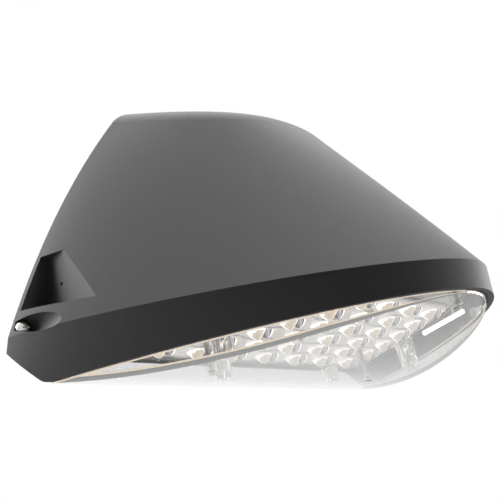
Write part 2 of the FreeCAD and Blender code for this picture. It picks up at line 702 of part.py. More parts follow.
def thermal_pad():
    return on_deck(engine_holes(engine_sheet(2.0, PAD_LOW, DECK_HEIGHT), 0.5))


def led_board():
    return on_deck(engine_holes(engine_sheet(0.0, BOARD_LOW, PAD_LOW), 0.4))


def led_chips():
    half = CHIP_SIZE / 2
    chips = [box(x - half, x + half, y - half, y + half, BOARD_LOW - CHIP_HEIGHT, BOARD_LOW)
             for x, y in optic_places()]
    return on_deck(Part.makeCompound(chips))


def optic_sheet():
    """The clear moulded sheet with one teardrop optic over each light source."""
    sheet = engine_sheet(3.0, OPTIC_LOW, BOARD_LOW)
    crowns = []
    hollows = []
    half = CHIP_SIZE / 2 + CHIP_CLEARANCE
    for x, y in optic_places():
        foot = teardrop_wire(x, y, OPTIC_LOW, 1.0)
        top = teardrop_wire(x, y, OPTIC_LOW - OPTIC_HEIGHT, OPTIC_CROWN)
        crowns.append(Part.makeLoft([top, foot], True, True))
        hollows.append(box(x - half, x + half, y - half, y + half, BOARD_LOW - CHIP_HEIGHT
                           - CHIP_CLEARANCE, BOARD_LOW + 1.0))
    sheet = sheet.fuse(crowns)
    sheet = sheet.cut(Part.makeCompound(hollows))
    sheet = engine_holes(sheet, 0.3)
    lead_slot = box(LEAD_CENTRE - CONNECTOR_LENGTH / 2 - 1.0, LEAD_CENTRE + CONNECTOR_LENGTH / 2 + 1.0,
                    -ENGINE_START - CONNECTOR_WIDTH - 2.0, 0.0, -FAR / 2, FAR / 2)
    return on_deck(sheet.cut(lead_slot))


CONNECTOR_LENGTH = 14.0
CONNECTOR_WIDTH = 7.0
CONNECTOR_HEIGHT = 4.5


def board_connector():
    """The plug connector at the board's rear edge, with an entry for each lead."""
    body = box(LEAD_CENTRE - CONNECTOR_LENGTH / 2, LEAD_CENTRE + CONNECTOR_LENGTH / 2,
               -ENGINE_START - CONNECTOR_WIDTH, -ENGINE_START - 0.5, BOARD_LOW - CONNECTOR_HEIGHT, BOARD_LOW)
    return on_deck(body)


def engine_screws():
    """Pan-headed screws through the optic sheet and the board into the deck."""
    screws = []
    for x, y in engine_screw_places():
        head = Part.makeCylinder(ENGINE_SCREW_HEAD, ENGINE_SCREW_HEAD_HEIGHT,
                                 V(x, y, OPTIC_LOW - ENGINE_SCREW_HEAD_HEIGHT))
        head = head.makeFillet(0.8, [edge for edge in head.Edges if edge.BoundBox.ZMax
                                     < OPTIC_LOW - ENGINE_SCREW_HEAD_HEIGHT + 0.1])
        shank = Part.makeCylinder(ENGINE_SCREW_RADIUS, DECK_HEIGHT - OPTIC_LOW, V(x, y, OPTIC_LOW))
        screws.append(head.fuse(shank))
    return on_deck(Part.makeCompound(screws))


LENS_DROP = 40.0
LENS_TOP = DECK_HEIGHT - LENS_GASKET


def lens_floor(lift):
    """The lens's curved floor from its rear edge to the nose, as one arc of a parabola."""
    span = SKIRT_DEPTH - HEEL_DEPTH
    rise = mouth_height(-SKIRT_DEPTH)
    poles = [(-HEEL_DEPTH, lift), (-HEEL_DEPTH - span / 2, rise / 2 - 2 * LENS_SAG + lift),
             (-SKIRT_DEPTH, rise + lift)]
    return poles


def lens_prism(gap, lift, rear_gap, top):
    """The lens's bulk: the outline drawn in by a gap, between its floor and a plane off the mouth."""
    poles = lens_floor(lift)
    floor = Part.BezierCurve()
    floor.setPoles([V(-FAR, y, z) for y, z in poles])
    rear, front = poles[0], poles[2]
    top_lift = top / SKIRT_COS
    roof_front = (-FAR, mouth_height(-FAR) + top_lift)
    rear_top_y = rear[0] + LENS_REAR_LEAN
    roof_rear = (rear_top_y, mouth_height(rear_top_y) + top_lift)
    slope = (front[1] - poles[1][1]) / (poles[1][0] - front[0])
    lead = (-FAR, front[1] + slope * (FAR + front[0]))
    corners = [front, lead, roof_front, roof_rear, rear]
    lines = [Part.makeLine(V(-FAR, a[0], a[1]), V(-FAR, b[0], b[1])) for a, b in zip(corners, corners[1:])]
    side = Part.Face(Part.Wire([floor.toShape()] + lines)).extrude(V(2 * FAR, 0, 0))
    if rear_gap:
        lean = (roof_rear[0] - rear[0]) / (roof_rear[1] - rear[1])
        side = side.cut(side_prism([(-HEEL_DEPTH - rear_gap - lean * FAR, -FAR), (FAR, -FAR), (FAR, FAR),
                                    (-HEEL_DEPTH - rear_gap + lean * FAR, FAR)]))
    return side.common(band(gap, LENS_DROP))


def drop_lens():
    """The clear drop lens: a thin shell with a sagging floor, screw posts and locating ribs."""
    outer = lens_prism(LENS_INSET, 0.0, 0.0, LENS_TOP)
    inner = lens_prism(LENS_INSET + LENS_WALL, LENS_WALL, LENS_WALL, DECK_HEIGHT + 20.0)
    lens = outer.cut(inner)
    below = Part.makeCompound([lens_prism(LENS_INSET, 0.0, 0.0, DECK_HEIGHT)])
    for x, place in lens_post_places():
        top = OPTIC_LOW if place < ENGINE_END else DECK_HEIGHT
        post = on_deck(Part.makeCylinder(POST_RADIUS, 60.0 + top, V(x, -place, -60.0)))
        lens = lens.fuse(post.common(below))
    for side in (-1, 1):
        x = side * RIB_HALF_SPAN
        rib = on_deck(box(x - RIB_THICKNESS / 2, x + RIB_THICKNESS / 2, -RIB_SET - RIB_WIDTH, -RIB_SET,
                          -30.0, RIB_HEIGHT))
        lens = lens.fuse(rib.common(below))
    for x, place in lens_post_places():
        centre = V(x, -place, -60.0)
        lens = lens.cut(on_deck(Part.makeCylinder(LENS_SCREW_RADIUS + 0.2, FAR, centre)))
        seat = lens_screw_seat(place)
        lens = lens.cut(on_deck(Part.makeCylinder(LENS_SCREW_HEAD + 0.4, 60.0 + seat, centre)))
    return lens


def lens_screw_seat(place):
    """Height of the screw head's seat off the mouth plane, just inside the lens floor."""
    share = place * SKIRT_COS / (SKIRT_DEPTH - HEEL_DEPTH)
    return -4 * LENS_SAG * share * (1 - share) * SKIRT_COS + LENS_SCREW_HEAD_HEIGHT + 1.2


def lens_screws():
    """Screws up through the lens posts into the deck."""
    screws = []
    for x, place in lens_post_places():
        seat = lens_screw_seat(place)
        head = Part.makeCylinder(LENS_SCREW_HEAD, LENS_SCREW_HEAD_HEIGHT,
                                 V(x, -place, seat - LENS_SCREW_HEAD_HEIGHT))
        shank = Part.makeCylinder(LENS_SCREW_RADIUS, DECK_HEIGHT + DECK_THICKNESS - 1.2 - seat,
                                  V(x, -place, seat))
        socket = prism([V(x + 1.5 * math.cos(math.radians(60 * i)),
                          -place + 1.5 * math.sin(math.radians(60 * i)),
                          seat - LENS_SCREW_HEAD_HEIGHT) for i in range(6)], V(0, 0, 1.3))
        screws.append(head.fuse(shank).cut(socket))
    return on_deck(Part.makeCompound(screws))


def lens_gasket():
    """The silicone strip between the lens's top edge and the deck."""
    outer = lens_prism(LENS_INSET - 0.5, 0.0, 0.0, DECK_HEIGHT)
    middle = LENS_INSET - 0.5 + LENS_GASKET_WIDTH
    inner = lens_prism(middle, 0.0, LENS_GASKET_WIDTH, DECK_HEIGHT + 20.0)
    slab = on_deck(box(-FAR, FAR, -FAR, FAR, LENS_TOP, DECK_HEIGHT))
    return outer.cut(inner).common(slab)


BRACKET_LOW = DECK_TOP + BOSS_HEIGHT
DRIVER_LOW = BRACKET_LOW + BRACKET_THICKNESS


def driver_bracket():
    """The folded steel tray under the driver, with a flange along its front and rear."""
    half = BRACKET_LENGTH / 2
    rear = -DRIVER_SET + BRACKET_THICKNESS + 1.0
    front = -DRIVER_SET - DRIVER_WIDTH - BRACKET_THICKNESS - 1.0
    tray = box(-half, half, front, rear, BRACKET_LOW, DRIVER_LOW)
    flange = DRIVER_LOW + BRACKET_FLANGE
    tray = tray.fuse(box(-half, half, front, front + BRACKET_THICKNESS, BRACKET_LOW, flange))
    tray = tray.fuse(box(-half, half, rear - BRACKET_THICKNESS, rear, BRACKET_LOW, flange))
    for x, place in bracket_screw_places():
        tray = tray.cut(Part.makeCylinder(BRACKET_SCREW_RADIUS + 0.3, FAR, V(x, -place, 0)))
    return on_deck(tray.removeSplitter())


def bracket_screws():
    screws = []
    for x, place in bracket_screw_places():
        head = Part.makeCylinder(3.6, 2.4, V(x, -place, DRIVER_LOW))
        shank = Part.makeCylinder(BRACKET_SCREW_RADIUS, BRACKET_THICKNESS + BOSS_HEIGHT - 1.0,
                                  V(x, -place, DECK_TOP + 1.0))
        screws.append(head.fuse(shank))
    return on_deck(Part.makeCompound(screws))


def driver():
    """The constant-current driver: a potted aluminium case with rounded long edges."""
    half = DRIVER_LENGTH / 2
    case = box(-half, half, -DRIVER_SET - DRIVER_WIDTH, -DRIVER_SET, DRIVER_LOW,
               DRIVER_LOW + DRIVER_HEIGHT)
    long_edges = [edge for edge in case.Edges if edge.Length > DRIVER_LENGTH - 1.0]
    return on_deck(case.makeFillet(DRIVER_EDGE, long_edges))


def surge_protector():
    """The potted surge protector, beside the driver on the deck."""
    x0 = SURGE_CENTRE - SURGE_LENGTH / 2
    case = box(x0, x0 + SURGE_LENGTH, -DRIVER_SET - SURGE_WIDTH, -DRIVER_SET, DECK_TOP,
               DECK_TOP + SURGE_HEIGHT)
    upright = [edge for edge in case.Edges if abs(edge.Vertexes[0].Z - edge.Vertexes[1].Z) > 1.0]
    return on_deck(case.makeFillet(4.0, upright))


def terminal_block():
    """The mains terminal block: one wire port for each conductor, facing the wall."""
    x0 = TERMINAL_CENTRE - TERMINAL_LENGTH / 2
    body = box(x0, x0 + TERMINAL_LENGTH, -TERMINAL_SET - TERMINAL_WIDTH, -TERMINAL_SET, DECK_TOP,
               DECK_TOP + TERMINAL_HEIGHT)
    pitch = TERMINAL_LENGTH / PORT_COUNT
    for index in range(PORT_COUNT):
        x = x0 + pitch * (index + 0.5)
        body = body.cut(Part.makeCylinder(PORT_RADIUS, 9.0, V(x, -TERMINAL_SET, DECK_TOP + 6.0), -Y_AXIS))
        body = body.cut(box(x - 2.4, x + 2.4, -TERMINAL_SET - 11.0, -TERMINAL_SET - 4.0,
                            DECK_TOP + TERMINAL_HEIGHT - 3.0, DECK_TOP + TERMINAL_HEIGHT + 1.0))
    return on_deck(body)


def lead(points, radius, bend):
    """A round lead along straight runs joined by arcs of one bend radius."""
    edges = []
    last = points[0]
    for before, corner, after in zip(points, points[1:], points[2:]):
        incoming = (corner - before).normalize()
        outgoing = (after - corner).normalize()
        turn = incoming.getAngle(outgoing)
        cut_back = bend * math.tan(turn / 2)
        start = corner - incoming * cut_back
        end = corner + outgoing * cut_back
        inward = (outgoing - incoming).normalize()
        middle = corner + inward * (bend / math.cos(turn / 2) - bend)
        edges.append(Part.makeLine(last, start))
        edges.append(Part.Arc(start, middle, end).toShape())
        last = end
    edges.append(Part.makeLine(last, points[-1]))
    path = Part.Wire(edges)
    direction = (points[1] - points[0]).normalize()
    profile = Part.Wire([Part.makeCircle(radius, points[0], direction)])
    return path.makePipeShell([profile], True, False)


def output_leads():
    """The two leads from the driver's end, through the deck, to the board's connector."""
    leads = []
    connector_mid = BOARD_LOW - CONNECTOR_HEIGHT / 2
    for side in (-1, 1):
        x = LEAD_CENTRE + side * LEAD_PITCH / 2
        rear = -LEAD_HOLE_SET
        points = [V(x, -DRIVER_SET, DRIVER_LOW + DRIVER_HEIGHT / 2),
                  V(x, rear, DRIVER_LOW + DRIVER_HEIGHT / 2),
                  V(x, rear, connector_mid), V(x, -ENGINE_START - 0.5, connector_mid)]
        leads.append(lead(points, LEAD_RADIUS, 2.5 * LEAD_RADIUS))
    return on_deck(Part.makeCompound(leads))


def deck_grommet():
    """The rubber grommet where the leads pass the deck."""
    centre = V(LEAD_CENTRE, -LEAD_HOLE_SET, DECK_HEIGHT)
    body = Part.makeCylinder(GROMMET_RADIUS - 0.05, DECK_THICKNESS, centre)
    top = Part.makeCylinder(GROMMET_RADIUS + 1.8, GROMMET_FLANGE, centre + V(0, 0, DECK_THICKNESS))
    grommet = body.fuse(top)
    for side in (-1, 1):
        start = centre + V(side * LEAD_PITCH / 2, 0, -1.0)
        grommet = grommet.cut(Part.makeCylinder(LEAD_RADIUS + 0.05, 2 * DECK_THICKNESS, start))
    return on_deck(grommet.removeSplitter())


def input_leads():
    """The leads from the terminal block to the driver, one for each live conductor."""
    leads = []
    pitch = TERMINAL_LENGTH / PORT_COUNT
    low = DECK_TOP + 6.0
    for index in range(2):
        x = TERMINAL_CENTRE + (index - 0.5) * pitch
        height = DRIVER_LOW + 10.0 + index * 8.0
        set_back = DRIVER_SET + 26.0 + index * 8.0
        points = [V(x, -TERMINAL_SET - TERMINAL_WIDTH, low), V(x, -set_back, low), V(x, -set_back, height),
                  V(-DRIVER_LENGTH / 2, -set_back, height)]
        leads.append(lead(points, LEAD_RADIUS, 2.5 * LEAD_RADIUS))
    return on_deck(Part.makeCompound(leads))


NODES = {
    "housing": housing,
    "wall_plate": wall_plate,
    "wall_gasket": wall_gasket,
    "wire_bushing": wire_bushing,
    "earth_screw": earth_screw,
    "rim_gasket": rim_gasket,
    "captive_screw_left": captive_screw,
    "thermal_pad": thermal_pad,
    "led_board": led_board,
    "led_chips": led_chips,
    "optic_sheet": optic_sheet,
    "engine_screws": engine_screws,
    "board_connector": board_connector,
    "drop_lens": drop_lens,
    "lens_gasket": lens_gasket,
    "lens_screws": lens_screws,
    "driver_bracket": driver_bracket,
    "bracket_screws": bracket_screws,
    "driver": driver,
    "surge_protector": surge_protector,
    "terminal_block": terminal_block,
    "input_leads": input_leads,
    "output_leads": output_leads,
    "deck_grommet": deck_grommet,
}

for node, make in NODES.items():
    save(node, make())
save("captive_screw_right", mirrored(captive_screw()))
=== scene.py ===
import math

import bmesh
import bpy
from mathutils import Matrix, Vector


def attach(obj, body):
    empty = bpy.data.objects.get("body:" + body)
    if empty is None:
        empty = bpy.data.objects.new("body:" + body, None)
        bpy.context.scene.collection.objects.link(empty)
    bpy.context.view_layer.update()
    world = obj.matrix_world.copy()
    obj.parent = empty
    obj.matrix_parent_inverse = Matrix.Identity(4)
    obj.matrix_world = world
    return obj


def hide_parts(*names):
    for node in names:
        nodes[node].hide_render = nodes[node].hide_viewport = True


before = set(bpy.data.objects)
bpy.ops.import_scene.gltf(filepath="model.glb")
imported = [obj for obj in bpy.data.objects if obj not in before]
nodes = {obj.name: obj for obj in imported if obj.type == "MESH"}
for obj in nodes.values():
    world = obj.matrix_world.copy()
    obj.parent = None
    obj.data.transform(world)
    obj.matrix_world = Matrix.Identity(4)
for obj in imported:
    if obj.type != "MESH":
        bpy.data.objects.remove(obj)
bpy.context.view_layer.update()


# ---- Wall plate --------------------------------------------------------------------------------
# The plate is laser-cut and folded from zinc-plated steel, and is screwed to the junction box or
# the wall first. Its two hooks carry the housing. The plating shows faint rolling marks and a
# slightly cloudy lustre.
def new_material(name, color, roughness, metallic=0.0, specular=0.5):
    """A material with its node tree and Principled shader; colours are linear RGB."""
    material = bpy.data.materials.new(name)
    material.use_nodes = True
    shader = material.node_tree.nodes["Principled BSDF"]
    shader.inputs["Base Color"].default_value = (*color, 1.0)
    shader.inputs["Roughness"].default_value = roughness
    shader.inputs["Metallic"].default_value = metallic
    shader.inputs["Specular IOR Level"].default_value = specular
    return material, material.node_tree, shader


def noise_of(tree, scale, detail=4.0, stretch=(1.0, 1.0, 1.0)):
    """A noise texture in object coordinates, in metres."""
    place = tree.nodes.new("ShaderNodeTexCoord")
    mapping = tree.nodes.new("ShaderNodeMapping")
    mapping.inputs["Scale"].default_value = stretch
    noise = tree.nodes.new("ShaderNodeTexNoise")
    noise.inputs["Scale"].default_value = scale
    noise.inputs["Detail"].default_value = detail
    tree.links.new(place.outputs["Object"], mapping.inputs["Vector"])
    tree.links.new(mapping.outputs["Vector"], noise.inputs["Vector"])
    return noise


def ramp_of(tree, noise, stops):
    """A colour ramp over a noise; each stop is a position and a colour."""
    ramp = tree.nodes.new("ShaderNodeValToRGB")
    elements = ramp.color_ramp.elements
    for index, (position, color) in enumerate(stops):
        element = elements[index] if index < 2 else elements.new(position)
        element.position = position
        element.color = (*color, 1.0)
    tree.links.new(noise.outputs["Fac"], ramp.inputs["Fac"])
    return ramp


def varied_color(tree, shader, noise, low, high):
    """Lets the base colour wander between two colours with a noise."""
    ramp = ramp_of(tree, noise, ((0.35, low), (0.65, high)))
    tree.links.new(ramp.outputs["Color"], shader.inputs["Base Color"])


def varied_roughness(tree, shader, noise, low, high):
    """Lets the roughness wander between two values with a noise."""
    span = tree.nodes.new("ShaderNodeMapRange")
    span.inputs["To Min"].default_value = low
    span.inputs["To Max"].default_value = high
    tree.links.new(noise.outputs["Fac"], span.inputs["Value"])
    tree.links.new(span.outputs["Result"], shader.inputs["Roughness"])


def bumped(tree, shader, noise, strength, depth):
    """Raises the surface with a noise; depth is in metres."""
    bump = tree.nodes.new("ShaderNodeBump")
    bump.inputs["Strength"].default_value = strength
    bump.inputs["Distance"].default_value = depth
    tree.links.new(noise.outputs["Fac"], bump.inputs["Height"])
    tree.links.new(bump.outputs["Normal"], shader.inputs["Normal"])


def finish(node, material):
    """Gives a CAD node its material."""
    mesh = nodes[node].data
    mesh.materials.clear()
    mesh.materials.append(material)


DULL_ZINC = (0.42, 0.44, 0.47)
BRIGHT_ZINC = (0.60, 0.61, 0.62)
ROLLED_LUSTRE = (1.0, 1.0, 12.0)
ROLLING_MARKS = (1.0, 1.0, 0.05)
zinc, tree, shader = new_material("zinc_plating", (0.50, 0.52, 0.55), roughness=0.38, metallic=1.0)
varied_color(tree, shader, noise_of(tree, scale=45.0), DULL_ZINC, BRIGHT_ZINC)
varied_roughness(tree, shader, noise_of(tree, scale=30.0, stretch=ROLLED_LUSTRE), low=0.28, high=0.5)
bumped(tree, shader, noise_of(tree, scale=600.0, stretch=ROLLING_MARKS), strength=0.25, depth=0.0002)
for node in ("wall_plate", "driver_bracket", "bracket_screws"):
    finish(node, zinc)


# ---- Wall gasket, wire bushing, rim gasket and grommet ------------------------------------------
# Rings and strips of closed-cell foam and rubber: one seals the plate to the junction box, one
# lies in the casting's rebate, and two line the holes that wires pass. All are matt black.
foam, tree, shader = new_material("closed_cell_foam", (0.03, 0.03, 0.031), roughness=0.95, specular=0.2)
bumped(tree, shader, noise_of(tree, scale=1400.0), strength=0.8, depth=0.0003)
for node in ("wall_gasket", "rim_gasket"):
    finish(node, foam)

rubber, tree, shader = new_material("black_rubber", (0.022, 0.022, 0.023), roughness=0.6, specular=0.35)
bumped(tree, shader, noise_of(tree, scale=900.0), strength=0.3, depth=0.0001)
for node in ("wire_bushing", "deck_grommet"):
    finish(node, rubber)


# ---- Earthing screw -----------------------------------------------------------------------------
# A green hexagon-headed screw in the wall plate takes the earth wire. It is steel with a green
# passivated plating, which is a little darker in the hollows.
DARK_GREEN = (0.03, 0.2, 0.06)
CLEAR_GREEN = (0.07, 0.32, 0.12)
green, tree, shader = new_material("green_passivated", (0.05, 0.26, 0.09), roughness=0.4, metallic=0.6)
varied_color(tree, shader, noise_of(tree, scale=300.0), DARK_GREEN, CLEAR_GREEN)
finish("earth_screw", green)


# ---- Housing ------------------------------------------------------------------------------------
# The housing is one aluminium die casting with a textured dark powder coat: a fine orange-peel
# surface that scatters light evenly and stays nearly black where it faces away from the light.
# Its tone carries painted shade and light: darker in the hollows of the grain, lighter on its peaks.
COAT_SHADED_HOLLOWS = (0.115, 0.115, 0.116)
COAT_LIT_PEAKS = (0.155, 0.155, 0.155)
coat, tree, shader = new_material("powder_coat", (0.135, 0.135, 0.135), roughness=0.62, specular=0.06)
grain = noise_of(tree, scale=2600.0, detail=2.0)
# Painted shade and light: the grain that raises the bump also darkens its hollows and lightens its peaks.
varied_color(tree, shader, grain, COAT_SHADED_HOLLOWS, COAT_LIT_PEAKS)
bumped(tree, shader, grain, strength=0.5, depth=0.00012)
finish("housing", coat)


# ---- Captive screws and the other stainless screws ----------------------------------------------
# Two stainless dome-headed screws with a cross recess sit at the ends of the scalloped channels,
# and stay in the casting when backed out. The screws of the lens and of the board are of the same
# steel, turned to a satin lustre.
stainless, tree, shader = new_material("satin_stainless", (0.62, 0.60, 0.57), roughness=0.3, metallic=1.0)
varied_roughness(tree, shader, noise_of(tree, scale=500.0), low=0.22, high=0.42)
bumped(tree, shader, noise_of(tree, scale=1500.0), strength=0.2, depth=0.00005)
for node in ("captive_screw_left", "captive_screw_right", "engine_screws", "lens_screws"):
    finish(node, stainless)


# ---- Thermal pad, board and light sources -------------------------------------------------------
# A grey silicone pad carries the heat from the aluminium-core board into the deck. The board has
# a white solder mask, and each source is a small square of yellow phosphor, which glows when lit.
def glowing(shader, color, strength=1.0):
    """Makes a material give off one colour of light all over."""
    shader.inputs["Emission Color"].default_value = (*color, 1.0)
    shader.inputs["Emission Strength"].default_value = strength


pad, tree, shader = new_material("thermal_pad_grey", (0.3, 0.31, 0.34), roughness=0.8)
bumped(tree, shader, noise_of(tree, scale=700.0), strength=0.3, depth=0.0001)
finish("thermal_pad", pad)

CREAM_MASK = (0.78, 0.76, 0.72)
WHITE_MASK = (0.86, 0.84, 0.8)
mask, tree, shader = new_material("white_solder_mask", (0.82, 0.80, 0.76), roughness=0.35)
varied_color(tree, shader, noise_of(tree, scale=60.0), CREAM_MASK, WHITE_MASK)
finish("led_board", mask)

SOURCE_LIGHT = (1.0, 0.86, 0.68)
ORANGE_PHOSPHOR = (0.9, 0.65, 0.25)
YELLOW_PHOSPHOR = (1.0, 0.82, 0.45)
phosphor, tree, shader = new_material("lit_phosphor", (1.0, 0.75, 0.35), roughness=0.6)
glowing(shader, SOURCE_LIGHT, strength=12.0)
varied_color(tree, shader, noise_of(tree, scale=2000.0), ORANGE_PHOSPHOR, YELLOW_PHOSPHOR)
finish("led_chips", phosphor)


# ---- Optic moulding -----------------------------------------------------------------------------
# One clear acrylic moulding carries a teardrop optic over each source: a leaning dome with a small
# foot dome beside it, and fine ribs between the rows. Its facets break the lit sources up into
# white and beige patches and grey edges; that light is painted, as a glow of its own on each facet,
# the sheet and the ribs: painted highlights, painted beige and warm light, and painted grey shade.
MOUTH_TILT = math.radians(16.49)
MOUTH_START = (0.0, -33.5, -112.0)       # rear end of the mouth plane, in millimetres
SHEET_FACE = 17.4                        # mouth plane to the sheet's lower face
SHEET_THICKNESS = 2.0
SHEET_CORNERS = ((-147.0, 19.0), (-147.0, 64.1), (-84.3, 165.0), (84.3, 165.0), (147.0, 64.1),
                 (147.0, 19.0))
BOARD_HALF_WIDTH = 150.0
BOARD_TAPER_START = 65.0
BOARD_TAPER = 0.62136                    # lost on each side for each millimetre forward
OPTIC_ROWS = (7, 7, 6, 6, 5, 5)
ROW_START = 32.5
ROW_PITCH = 24.5
ROW_MARGIN = 23.5                        # from the board's edge to a row's last optic
# Of each dome: its radius and depth, and how far its point leans across and forward.
HEAD_DOME = (7.3, 6.5, 2.4, -1.9)
HEAD_POINT = 0.6                         # 0 leaves a dome round and 1 makes it a cone
FOOT_DOME = (5.6, 4.8, 1.0, -1.0)
FOOT_POINT = 0.3
FOOT_PLACE = (10.6, 1.5)                 # across and forward from the head
DOT_DOME = (1.6, 1.6, 0.0, 0.0)
DOT_PLACE = (14.5, 7.0)
RIB_STEPS = 72
RIB_MARGIN = 5.0                         # from the board's edge to a rib's end
RIB_WAVE = 2.2
RIB_WAVE_RUN = 6.2                       # across for each radian of the wave
RIB_SECTION = (1.1, 0.9)
RIB_OVERLAP = 1.15
RIB_DROP = 0.4                           # sheet's lower face down to the rib's middle
PAINTED_HIGHLIGHT = (1.4, 1.36, 1.30)
PAINTED_BEIGE_LIGHT = (0.74, 0.65, 0.54)
PAINTED_PALE_LIGHT = (0.56, 0.545, 0.52)
PAINTED_WARM_LIGHT = (0.84, 0.68, 0.50)
PAINTED_MIDDLE_SHADE = (0.36, 0.36, 0.36)
PAINTED_DARK_SHADE = (0.17, 0.17, 0.175)
# Round a dome the facets run from 0 at its front right side to 1 at its rear left side. FACET_START
# matches the camera's azimuth, so the painted light and shade are laid out for the camera's view.
FACET_START = 51.5                       # degrees
LEFT_EDGE = 0.86
RIGHT_EDGE = 0.10
WARM_SIDE = 0.24
RIM_DEPTH = 0.10
PATCH_RISE = 0.55
FOOT_PAINTED_LIGHT_AND_SHADE = ((0.62, PAINTED_DARK_SHADE), (0.45, PAINTED_MIDDLE_SHADE), (0.30, PAINTED_PALE_LIGHT), (0.22, PAINTED_DARK_SHADE))
# Across the wall, forward along the deck and down off it, in millimetres, to the frame in metres.
DECK = (Matrix.Scale(0.001, 4) @ Matrix.Translation(MOUTH_START)
        @ Matrix(((1.0, 0.0, 0.0, 0.0),
                  (0.0, -math.cos(MOUTH_TILT), -math.sin(MOUTH_TILT), 0.0),
                  (0.0, math.sin(MOUTH_TILT), -math.cos(MOUTH_TILT), 0.0),
                  (0.0, 0.0, 0.0, 1.0))))


def on_deck(across, forward, height):
    """A frame at a place on the deck; height is measured off the mouth plane, and Z points down."""
    return DECK @ Matrix.Translation((across, forward, -height))


def board_half(forward):
    """Half the board's width at a place along the deck."""
    return BOARD_HALF_WIDTH - BOARD_TAPER * max(0.0, forward - BOARD_TAPER_START)


def new_piece(name, mesh_data, material, body, smooth=True):
    """Makes an object of a finished bmesh and lets it ride a body."""
    mesh = bpy.data.meshes.new(name)
    mesh_data.to_mesh(mesh)
    mesh_data.free()
    mesh.materials.append(material)
    for polygon in mesh.polygons:
        polygon.use_smooth = smooth
    piece = bpy.data.objects.new(name, mesh)
    bpy.context.scene.collection.objects.link(piece)
    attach(piece, body)
    return piece


def paint(faces, layer, color_of):
    """Gives each face's corners one colour, from a function of the face's centre."""
    for face in faces:
        color = (*color_of(face.calc_center_median()), 1.0)
        for loop in face.loops:
            loop[layer] = color


def painted_dome(color_of, sizes, point, segments=40):
    """A dome that points down, painted by its own coordinates, then pointed and leant."""
    radius, depth, lean_across, lean_forward = sizes
    dome = bmesh.new()
    layer = dome.loops.layers.float_color.new("glow")
    bmesh.ops.create_uvsphere(dome, u_segments=segments, v_segments=segments // 2, radius=1.0)
    upper = [vert for vert in dome.verts if vert.co.z < -0.01]
    bmesh.ops.delete(dome, geom=upper, context="VERTS")
    paint(dome.faces, layer, color_of)
    for vert in dome.verts:
        reach = max(math.hypot(vert.co.x, vert.co.y), 1e-6)
        narrowing = 1.0 - point + point * (1.0 - vert.co.z) / reach
        vert.co.x *= narrowing
        vert.co.y *= narrowing
    shape = Matrix(((radius, 0.0, lean_across, 0.0), (0.0, radius, lean_forward, 0.0),
                    (0.0, 0.0, depth, 0.0), (0.0, 0.0, 0.0, 1.0)))
    bmesh.ops.transform(dome, matrix=shape, verts=dome.verts)
    return dome


def repeat(piece, pattern, places):
    """Adds a copy of a painted pattern at each place."""
    mesh = bpy.data.meshes.new("pattern")
    for place in places:
        copy = pattern.copy()
        bmesh.ops.transform(copy, matrix=place, verts=copy.verts)
        copy.to_mesh(mesh)
        copy.free()
        piece.from_mesh(mesh)
    bpy.data.meshes.remove(mesh)
    pattern.free()


def side_share(centre):
    """Where a facet stands round its dome, from 0 at the front right to 1 at the rear left."""
    turn = (math.degrees(math.atan2(centre.y, centre.x)) - FACET_START) % 360.0 / 180.0
    return turn if turn <= 1.0 else 2.0 - turn


def head_painted_light(centre):
    """Painted highlight on the rim, left edge and upper patch, and painted beige or warm light in the
    heart towards the dome's point.
    """
    side = side_share(centre)
    if side > LEFT_EDGE or side < RIGHT_EDGE or centre.z < RIM_DEPTH + PATCH_RISE * side * side:
        return PAINTED_HIGHLIGHT
    return PAINTED_BEIGE_LIGHT if side > WARM_SIDE else PAINTED_WARM_LIGHT


def foot_painted_light(centre):
    """Stripes of painted grey shade across the small dome, with a fine painted highlight along its far
    edge.
    """
    side = side_share(centre)
    for start, color in FOOT_PAINTED_LIGHT_AND_SHADE:
        if side > start:
            return color
    return PAINTED_HIGHLIGHT


def beside(places, across, forward):
    """The same places, each moved along the deck."""
    return [place @ Matrix.Translation((across, forward, 0.0)) for place in places]


optic_places = []
for row, count in enumerate(OPTIC_ROWS):
    forward = ROW_START + row * ROW_PITCH
    half = board_half(forward) - ROW_MARGIN
    for index in range(count):
        across = -half + 2.0 * half * index / (count - 1)
        optic_places.append(on_deck(across, forward, SHEET_FACE))

moulding = bmesh.new()
glow = moulding.loops.layers.float_color.new("glow")
corners = [moulding.verts.new(on_deck(across, forward, SHEET_FACE).translation)
           for across, forward in SHEET_CORNERS]
sheet = moulding.faces.new(corners)
top = bmesh.ops.extrude_face_region(moulding, geom=[sheet])["geom"]
bmesh.ops.translate(moulding, verts=[item for item in top if isinstance(item, bmesh.types.BMVert)],
                    vec=on_deck(0, 0, SHEET_THICKNESS).translation - on_deck(0, 0, 0).translation)
bmesh.ops.recalc_face_normals(moulding, faces=moulding.faces)
# The sheet glows with painted pale light.
paint(moulding.faces, glow, lambda centre: PAINTED_PALE_LIGHT)
repeat(moulding, painted_dome(head_painted_light, HEAD_DOME, HEAD_POINT), optic_places)
repeat(moulding, painted_dome(foot_painted_light, FOOT_DOME, FOOT_POINT), beside(optic_places, *FOOT_PLACE))
repeat(moulding, painted_dome(lambda centre: PAINTED_WARM_LIGHT, DOT_DOME, 0.0, segments=12),
       beside(optic_places, *DOT_PLACE))

rib_link = bmesh.new()
layer = rib_link.loops.layers.float_color.new("glow")
bmesh.ops.create_cube(rib_link, size=1.0)
